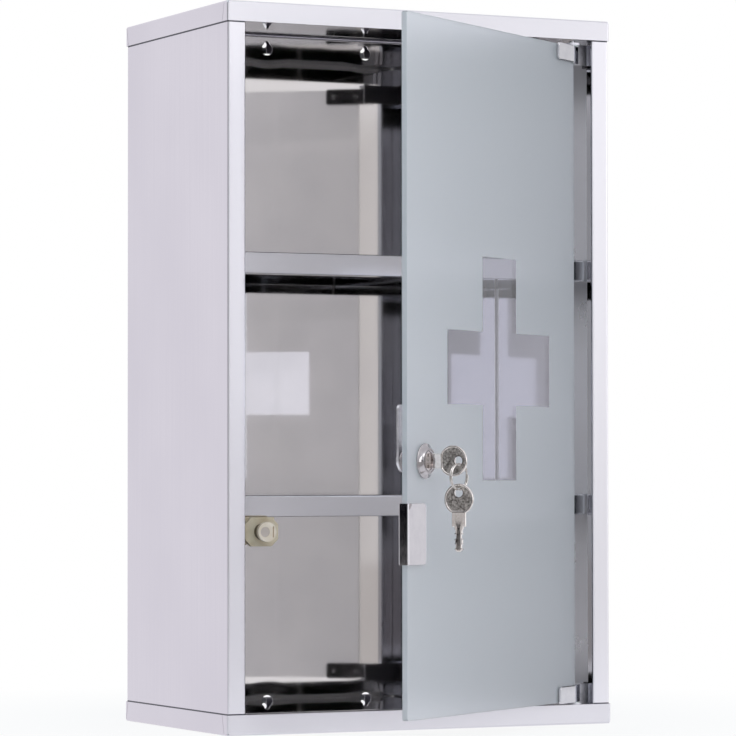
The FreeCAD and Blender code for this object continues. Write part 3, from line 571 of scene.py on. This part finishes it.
def lockHousing():
    values = lockBody
    turns, pitch, barrel = values["turnSteps"], values["threadPitch"], values["barrel"]
    start, back = values["threadStart"], values["back"]
    rings = [[(radius, out)] * turns for radius, out in lockProfile()]
    for row in range(int((start - back) / pitch * values["rowsPerTurn"])):
        out = start - pitch / values["rowsPerTurn"] * row
        fade = max(0.0, min(1.0, (start - out) / pitch, (out - back) / pitch))
        ring = []
        for step in range(turns):
            tooth = abs((out / pitch + step / turns) % 1.0 * 2 - 1)
            ring.append((barrel - values["threadDepth"] * (1 - tooth) * fade, out))
        rings.append(ring)
    for spot in ((barrel - values["backEdge"], back), (values["tailBore"], back),
                 (values["tailBore"], values["innerStop"])):
        rings.append([spot] * turns)
    shaped = bmesh.new()
    placed = []
    for ring in rings:
        placed.append([])
        for step, (radius, out) in enumerate(ring):
            turn = 2 * math.pi * step / turns
            spot = doorPoint(radius * math.cos(turn), radius * math.sin(turn), out)
            placed[-1].append(shaped.verts.new(spot))
    joinRings(shaped, placed + placed[:1])
    meshPiece("lockHousingTurned", shaped, [lockMetal], "door", "lock_housing")


lockHousing()
print("lock housing made")


# Keys: round bow with a bright raised rim, grained recess, collared hole and a grooved blade

keyShape = {
    "bowRadius": 10.3, "bowCentre": 18.0, "neckHalf": 4.9, "bladeHalf": 3.1, "bladeLength": 16.5,
    "half": 1.0, "bead": ((0.0, 0.5), (0.08, 0.28), (0.24, 0.09), (0.5, 0.0)), "rim": 1.1, "chord": 8.0,
    "lip": ((0.0, 0.0), (-0.2, 0.08), (-0.35, 0.25), (-0.42, 0.5)), "recess": 0.5, "curve": 96,
    "holeRadius": 3.0, "holeCentre": 22.3, "holeSteps": 36,
    "collar": 0.55, "collarSlope": 0.15, "collarDrop": 0.1,
    "grooveHalf": 0.8, "grooveEnd": 15.2, "grooveDepth": 0.45, "slope": 0.25,
    "cuts": ((3.2, 0.7), (6.4, 1.2), (9.6, 0.5), (12.8, 1.0)), "cutHalf": 1.0, "tip": 1.8,
}


def keyOutline(inset):
    # closed outline in the key's own plane, bow to the right and blade to the left, moved in by inset
    values = keyShape
    radius = values["bowRadius"] - inset
    neck = values["neckHalf"] - inset
    blade = values["bladeHalf"] - inset
    reach = math.asin(neck / radius)
    points = []
    for step in range(values["curve"] + 1):
        turn = math.pi - reach - (2 * math.pi - 2 * reach) * step / values["curve"]
        points.append((values["bowCentre"] + radius * math.cos(turn), radius * math.sin(turn)))
    tip = -values["bladeLength"] + inset
    lower = [(inset, -neck), (inset, -blade)]
    for where, depth in values["cuts"]:
        lower += [(-where + values["cutHalf"] + depth, -blade), (-where + values["cutHalf"], -blade + depth),
                  (-where - values["cutHalf"], -blade + depth), (-where - values["cutHalf"] - depth, -blade)]
    lower += [(tip + values["tip"], -blade), (tip, -blade + values["tip"])]
    return points + lower + [(x, -y) for x, y in reversed(lower)]


def recessOutline(inset):
    # the bow's circle closed by a chord at the neck
    values = keyShape
    radius = values["bowRadius"] - values["rim"] - inset
    start = math.pi - math.acos((values["chord"] - inset) / radius)
    turns = [start - 2 * start * step / values["curve"] for step in range(values["curve"] + 1)]
    return [(values["bowCentre"] + radius * math.cos(turn), radius * math.sin(turn)) for turn in turns]


def holeOutline(radius):
    count = keyShape["holeSteps"]
    turns = [2 * math.pi * step / count for step in range(count)]
    return [(keyShape["holeCentre"] + radius * math.cos(turn), radius * math.sin(turn)) for turn in turns]


def grooveOutline(inset):
    half, end = keyShape["grooveHalf"] - inset, keyShape["grooveEnd"] - inset
    return [(-end, -half), (-inset, -half), (-inset, half), (-end, half)]


def keyPiece(name, body, place, along, across, replaced):
    # place is the shoulder, along points to the bow, across lies in the key's plane
    values = keyShape
    normal = along.cross(across)
    shaped = bmesh.new()

    def ringOf(line, out):
        spots = [place + along * (x * mm) + across * (y * mm) + normal * (out * mm) for x, y in line]
        return [shaped.verts.new(spot) for spot in spots]

    def filled(loops, slot):
        # slot 0 is the plated metal, slot 1 the coined recess
        edges = []
        for loop in loops:
            for step, vertex in enumerate(loop):
                pair = (vertex, loop[(step + 1) % len(loop)])
                edges.append(shaped.edges.get(pair) or shaped.edges.new(pair))
        made = bmesh.ops.triangle_fill(shaped, use_beauty=True, use_dissolve=False, edges=edges)["geom"]
        for face in made:
            if isinstance(face, bmesh.types.BMFace):
                face.material_index = slot

    half, slope, hole = values["half"], values["slope"], values["holeRadius"]
    floor, collar = half - values["recess"], half - values["collarDrop"]
    sides = []
    for side in (-1, 1):
        bead = [ringOf(keyOutline(inset), side * (half - drop)) for inset, drop in values["bead"]]
        lips = [ringOf(recessOutline(-inset), side * (half - drop)) for inset, drop in values["lip"]]
        outer, rim, lip, bed = bead[0], bead[-1], lips[0], lips[-1]
        collarFoot = ringOf(holeOutline(hole + values["collar"] + values["collarSlope"]), side * floor)
        collarTop = ringOf(holeOutline(hole + values["collar"]), side * collar)
        holeEdge = ringOf(holeOutline(hole), side * collar)
        grooveTop = ringOf(grooveOutline(0), side * half)
        grooveBed = ringOf(grooveOutline(slope), side * (half - values["grooveDepth"]))
        filled([rim, lip, grooveTop], 0)
        filled([bed, collarFoot], 1)
        shaped.faces.new(grooveBed)
        for pair in (bead, lips, (collarFoot, collarTop, holeEdge), (grooveTop, grooveBed)):
            joinRings(shaped, pair)
        sides.append((outer, holeEdge))
    for low, high in zip(*sides):
        joinRings(shaped, (low, high))
    meshPiece(name, shaped, [keyMetal, keyRecess], body, replaced, sharp=25)


keyPlaces = {
    "shoulderOut": 3.1,     # of the key in the lock
    "hangDrop": 43.1,       # of the spare key's shoulder below the lock's axis
    "hangOut": 25.4,
    "hangAlong": -0.0872,   # the spare key's flat lies 5 degrees off the way out of the door
    "hangAway": -0.9962,
}
keyPiece("keyInLock", "key_body", doorPoint(0, 0, keyPlaces["shoulderOut"]), doorOut, up, "key")
keyPiece("keySpare", "spare_key_body", doorPoint(0, -keyPlaces["hangDrop"], keyPlaces["hangOut"]), up,
         doorAlong * keyPlaces["hangAlong"] + doorOut * keyPlaces["hangAway"], "spare_key")
print("keys made")


# Wire pieces: the split ring's two closed turns and the catch's return spring

wires = {
    "ringMean": 8.5, "ringWire": 0.55, "ringLean": 10.8, "ringDrop": 10.4, "ringOut": 25.4,
    "ringTurns": 2.0, "ringGap": 0.01, "ringStart": 20.0,
    "ringStep": 22.0,       # degrees over which one turn crosses to the other
    "springWire": 0.35, "springMean": 3.9, "springTurns": 4.5, "springPress": 3.5,
    "springClosed": 0.1,    # share of the wire in the closed coils at each end
    "springCreep": 0.08,    # share of the rise that the closed coils have too
    "endDome": 0.6, "sides": 14, "stepsPerTurn": 72,
}


def wirePiece(name, centres, radius, material, body, replaced):
    # a round wire swept through the centres with domed ends
    shaped = bmesh.new()
    rings = []
    count = len(centres)
    guide = (centres[1] - centres[0]).orthogonal().normalized()
    for step, centre in enumerate(centres):
        forward = (centres[min(step + 1, count - 1)] - centres[max(step - 1, 0)]).normalized()
        guide = (guide - forward * guide.dot(forward)).normalized()
        beside = forward.cross(guide)
        reach = radius * mm
        if step in (0, count - 1):
            reach *= wires["endDome"]
        rings.append([])
        for side in range(wires["sides"]):
            turn = 2 * math.pi * side / wires["sides"]
            rings[-1].append(shaped.verts.new(centre + guide * (reach * math.cos(turn)) +
                                              beside * (reach * math.sin(turn))))
    joinRings(shaped, rings)
    shaped.faces.new(rings[0])
    shaped.faces.new(rings[-1])
    return meshPiece(name, shaped, [material], body, replaced, sharp=60)


def splitRing():
    lean = math.radians(wires["ringLean"])
    across = doorAlong * math.cos(lean) + doorOut * math.sin(lean)
    through = doorOut * math.cos(lean) - doorAlong * math.sin(lean)
    middle = doorPoint(0, -wires["ringDrop"], wires["ringOut"])
    beside, ramp = wires["ringWire"] + wires["ringGap"], wires["ringStep"]
    mean = wires["ringMean"] * mm
    centres = []
    for step in range(int(wires["stepsPerTurn"] * wires["ringTurns"]) - 1):
        degrees = 360 * step / wires["stepsPerTurn"]
        shift = max(-1.0, min(1.0, (degrees - 360 + ramp / 2) / (ramp / 2) - 1))
        turn = math.radians(degrees + wires["ringStart"])
        centres.append(middle + across * (mean * math.cos(turn)) + up * (mean * math.sin(turn)) +
                       through * (beside * shift * mm))
    wirePiece("splitRingWound", centres, wires["ringWire"], ringMetal, "ring_body",
              "split_ring")


def catchSpring():
    low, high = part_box("catch_spring")
    middle = (low + high) / 2
    wire, mean, turns = wires["springWire"] * mm, wires["springMean"] * mm, wires["springTurns"]
    closed, creep = wires["springClosed"], wires["springCreep"]
    first, last = low.y + wire, high.y - wire
    count = int(wires["stepsPerTurn"] * turns)
    centres = []
    for step in range(count + 1):
        share = step / count
        turn = 2 * math.pi * turns * share
        rise = max(0.0, min(1.0, (share - closed) / (1 - 2 * closed)))
        centres.append(Vector((middle.x + mean * math.cos(turn),
                               first + (last - first) * (creep * share + (1 - creep) * rise),
                               middle.z + mean * math.sin(turn))))
    spring = wirePiece("catchSpringWound", centres, wires["springWire"], springMetal, "cabinet",
                       "catch_spring")
    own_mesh(spring)


splitRing()
catchSpring()
print("ring and spring made")


# Strike clip: chrome channel over the free edge of the glass, left bare

strikeShape = {
    "end": -25.9, "reach": -1.3, "front": 1.8, "rear": -5.8, "wall": 1.3, "low": -68.0, "high": -27.8,
    "fold": 1.1, "innerFold": 0.3, "foldSteps": 8, "corner": 2.6, "cornerSteps": 6, "edge": 0.3,
    "edgeAngle": 40,
}


def strikeClip():
    values = strikeShape
    wall, fold, inner, corner = values["wall"], values["fold"], values["innerFold"], values["corner"]

    def leaf(side):
        # outer and inner points of one leaf from its tip to the middle of the end, with the height it loses
        face = values["front"] if side > 0 else values["rear"]
        points = []
        for step in range(values["cornerSteps"] + 1):
            turn = math.pi / 2 * step / values["cornerSteps"]
            back = corner * (1 - math.cos(turn))
            points.append((values["reach"] - back, face, face - side * wall, corner * (1 - math.sin(turn))))
        stations = [((x, outer), (x, inside), loss) for x, outer, inside, loss in points]
        for step in range(values["foldSteps"] + 1):
            turn = math.pi / 2 * step / values["foldSteps"]
            spots = []
            for radius, depth in ((fold, fold), (inner, wall + inner)):
                spots.append((values["end"] + depth - radius * math.sin(turn),
                              face - side * (depth - radius * math.cos(turn))))
            stations.append((*spots, 0.0))
        return stations

    stations = leaf(-1) + leaf(1)[::-1]
    shaped = bmesh.new()
    loops = []
    for outer, inside, loss in stations:
        low, high = values["low"] + loss, values["high"] - loss
        loops.append([shaped.verts.new(doorPoint(spot[0], height, spot[1]))
                      for spot, height in ((outer, low), (outer, high), (inside, high), (inside, low))])
    joinRings(shaped, loops)
    shaped.faces.new(loops[0])
    shaped.faces.new(loops[-1])
    piece = meshPiece("strikeClipPressed", shaped, [chrome], "door", "strike_clip",
                      sharp=30)
    bevelled(piece, values["edge"], values["edgeAngle"])


strikeClip()
print("strike clip made")


# Studio: pale floor, white surround, soft boxes and the grey room that the mirror steel shows

studio = {
    "floor": "#F2F2F2",
    "floorShade": "#F0F0F0",
    "floorFleck": 4.0,      # millimetres
    "floorSize": 8.0,
    "floorDrop": 0.0005,    # below the cabinet, so that the two faces don't fight
    "boxes": [
        {"name": "front right", "place": (2.30, -1.95, 0.35), "wide": 1.4, "tall": 2.2, "watts": 14.0},
        {"name": "front strip", "place": (0.72, -2.75, 0.35), "wide": 0.28, "tall": 2.0, "watts": 3.6},
        {"name": "front high", "place": (-0.1, -2.1, 1.9), "wide": 1.4, "tall": 1.2, "watts": 8.0},
        {"name": "overhead", "place": (-0.6, -0.9, 2.4), "wide": 1.6, "tall": 1.6, "watts": 6.0},
    ],
    "aim": (0, 0, 0.25),
    "frontRight": "#C4C1C2",  # grey band at eye level that the inside of the cabinet mirrors
    "frontLeft": "#CED0D4",
    "bandTop": 0.090,       # sine of the height where white takes over
    "bandSoft": 0.008,
    "acrossSoft": 0.2,      # the grey turns from left to right within this of straight ahead
    "behind": "#F7F7FC",
    "behindSoft": 0.25,
    "right": "#ECEBEF",
    "rightFrom": 0.425,     # direction along X where the right begins and is full
    "rightTo": 0.455,
    "dark": "#101014",
    "darkPlaces": [         # direction, and the cosines where the dark begins and is full
        ((-0.995, -0.10, 0.0), 0.90, 0.955),
        ((0.10, -0.995, 0.0), 0.992, 0.996),
    ],
    "fill": 0.76,
    "fillColour": "#D6EFFF",
    "floorNear": 0.55,      # metres of white floor that the mirrors show before the grey room
    "floorSoft": 0.1,
    "floorRearSoft": 0.3,
    "whiteNear": 0.2,       # metres over which the camera's view of the floor turns to white paper
    "whiteFar": 0.5,
    "whiteLeast": 0.88,
}


def studioWorld():
    world = bpy.data.worlds.new("studio")
    bpy.context.scene.world = world
    world.use_nodes = True
    tree = world.node_tree
    tree.nodes.clear()
    rays = addNode(tree, "LightPath").outputs
    toward = addNode(tree, "TexCoord").outputs["Generated"]
    parts = addNode(tree, "SeparateXYZ", links={0: toward}).outputs
    rear = addNode(tree, "MapRange", {"From Min": -studio["behindSoft"], "From Max": studio["behindSoft"]},
                   {"Value": parts["Y"]})
    above = addNode(tree, "MapRange", {"From Min": studio["bandTop"],
                                       "From Max": studio["bandTop"] + studio["bandSoft"]},
                    {"Value": parts["Z"]})
    pale = addNode(tree, "Math", {"operation": "MAXIMUM"}, {0: rear, 1: above})
    across = addNode(tree, "MapRange", {"From Min": -studio["acrossSoft"], "From Max": studio["acrossSoft"]},
                     {"Value": parts["X"]})
    grey = addNode(tree, "Mix", {"data_type": "RGBA", 6: linearColour(studio["frontLeft"]),
                                 7: linearColour(studio["frontRight"])}, {0: across}).outputs[2]
    room = addNode(tree, "Mix", {"data_type": "RGBA", 7: linearColour(studio["behind"])},
                   {0: pale, 6: grey}).outputs[2]
    rightward = addNode(tree, "MapRange", {"From Min": studio["rightFrom"], "From Max": studio["rightTo"]},
                        {"Value": parts["X"]})
    room = addNode(tree, "Mix", {"data_type": "RGBA", 7: linearColour(studio["right"])},
                   {0: rightward, 6: room}).outputs[2]
    for way, begins, full in studio["darkPlaces"]:
        facing = addNode(tree, "VectorMath", {"operation": "DOT_PRODUCT", 1: Vector(way).normalized()},
                         {0: toward}).outputs["Value"]
        gap = addNode(tree, "MapRange", {"From Min": begins, "From Max": full}, {"Value": facing})
        room = addNode(tree, "Mix", {"data_type": "RGBA", 7: linearColour(studio["dark"])},
                       {0: gap, 6: room}).outputs[2]
    white = addNode(tree, "Background", {"Strength": 1.0, "Color": (1, 1, 1, 1)})
    mirrored = addNode(tree, "Background", {"Strength": 1.0}, {"Color": room})
    fill = addNode(tree, "Background", {"Strength": studio["fill"],
                                        "Color": linearColour(studio["fillColour"])})
    lit = addNode(tree, "MixShader", links={0: rays["Is Glossy Ray"], 1: fill, 2: mirrored})
    plain = addNode(tree, "Math", {"operation": "MAXIMUM"},
                    {0: rays["Is Camera Ray"], 1: rays["Is Transmission Ray"]})
    final = addNode(tree, "MixShader", links={0: plain, 1: lit, 2: white})
    addNode(tree, "OutputWorld", links={"Surface": final})


def studioFloor():
    # matt painted board that keeps the cabinet's shadow, fading to white paper for the camera
    material, tree, shader, place = newMaterial("painted board, matt", {"Roughness": 0.9})
    fleck = addNode(tree, "TexNoise", {"Scale": perMetre(studio["floorFleck"]), "Detail": 3.0},
                    {"Vector": place})
    colour = addNode(tree, "Mix", {"data_type": "RGBA", 6: linearColour(studio["floorShade"]),
                                   7: linearColour(studio["floor"])}, {0: fleck}).outputs[2]
    linkTo(tree, shader, {"Base Color": colour})
    rays = addNode(tree, "LightPath").outputs
    away = addNode(tree, "VectorMath", {"operation": "LENGTH"}, {0: place}).outputs["Value"]
    plain = addNode(tree, "MapRange", {"From Min": studio["whiteNear"], "From Max": studio["whiteFar"],
                                       "To Min": studio["whiteLeast"]}, {"Value": away})
    parts = addNode(tree, "SeparateXYZ", links={0: place}).outputs
    rear = addNode(tree, "MapRange", {"From Min": -studio["floorRearSoft"],
                                      "From Max": studio["floorRearSoft"]}, {"Value": parts["Y"]})
    near = addNode(tree, "MapRange", {"From Min": studio["floorNear"] + studio["floorSoft"],
                                      "From Max": studio["floorNear"]}, {"Value": away})
    pale = addNode(tree, "Math", {"operation": "MAXIMUM"}, {0: rear, 1: near})
    room = addNode(tree, "Mix", {"data_type": "RGBA", 6: linearColour(studio["frontRight"]),
                                 7: linearColour(studio["behind"])}, {0: pale}).outputs[2]
    white = addNode(tree, "Emission", {"Strength": 1.0, "Color": (1, 1, 1, 1)})
    mirrored = addNode(tree, "Emission", {"Strength": 1.0}, {"Color": room})
    seen = addNode(tree, "Math", {"operation": "MAXIMUM"},
                   {0: rays["Is Camera Ray"], 1: rays["Is Transmission Ray"]})
    share = addNode(tree, "Math", {"operation": "MULTIPLY"}, {0: seen, 1: plain})
    lit = addNode(tree, "MixShader", links={0: rays["Is Glossy Ray"], 1: shader, 2: mirrored})
    mixed = addNode(tree, "MixShader", links={0: share, 1: lit, 2: white})
    output = next(node for node in tree.nodes if node.type == "OUTPUT_MATERIAL")
    linkTo(tree, output, {"Surface": mixed})
    bpy.ops.mesh.primitive_plane_add(size=studio["floorSize"], location=(0, 0, -studio["floorDrop"]))
    floor = bpy.context.object
    floor.name = "studioFloor"
    floor.data.materials.append(material)


def softBoxes():
    for box in studio["boxes"]:
        lamp = bpy.data.lights.new("soft box " + box["name"], "AREA")
        lamp.shape = "RECTANGLE"
        lamp.size = box["wide"]
        lamp.size_y = box["tall"]
        lamp.energy = box["watts"]
        holder = bpy.data.objects.new(lamp.name, lamp)
        holder.location = box["place"]
        toCabinet = Vector(studio["aim"]) - Vector(box["place"])
        holder.rotation_euler = toCabinet.to_track_quat("-Z", "Y").to_euler()
        holder.visible_camera = False
        bpy.context.scene.collection.objects.link(holder)


studioWorld()
studioFloor()
softBoxes()

viewpoint = {
    "place": (-1.19685, -2.45987, 0.18016),
    "turn": (91.5285, 0.0507, -25.9669),
    "focalPixels": 3818.42,
    "imagePixels": 736,
    "sensor": 36.0,
    "near": 0.05,
    "far": 30.0,
}
lens = bpy.data.cameras.new("photograph")
lens.sensor_width = viewpoint["sensor"]
lens.lens = viewpoint["sensor"] * viewpoint["focalPixels"] / viewpoint["imagePixels"]
lens.clip_start = viewpoint["near"]
lens.clip_end = viewpoint["far"]
camera = bpy.data.objects.new("photograph", lens)
camera.location = viewpoint["place"]
camera.rotation_euler = [math.radians(angle) for angle in viewpoint["turn"]]
bpy.context.scene.collection.objects.link(camera)
bpy.context.scene.camera = camera
bpy.context.scene.view_settings.view_transform = "Standard"
print("studio and camera set")
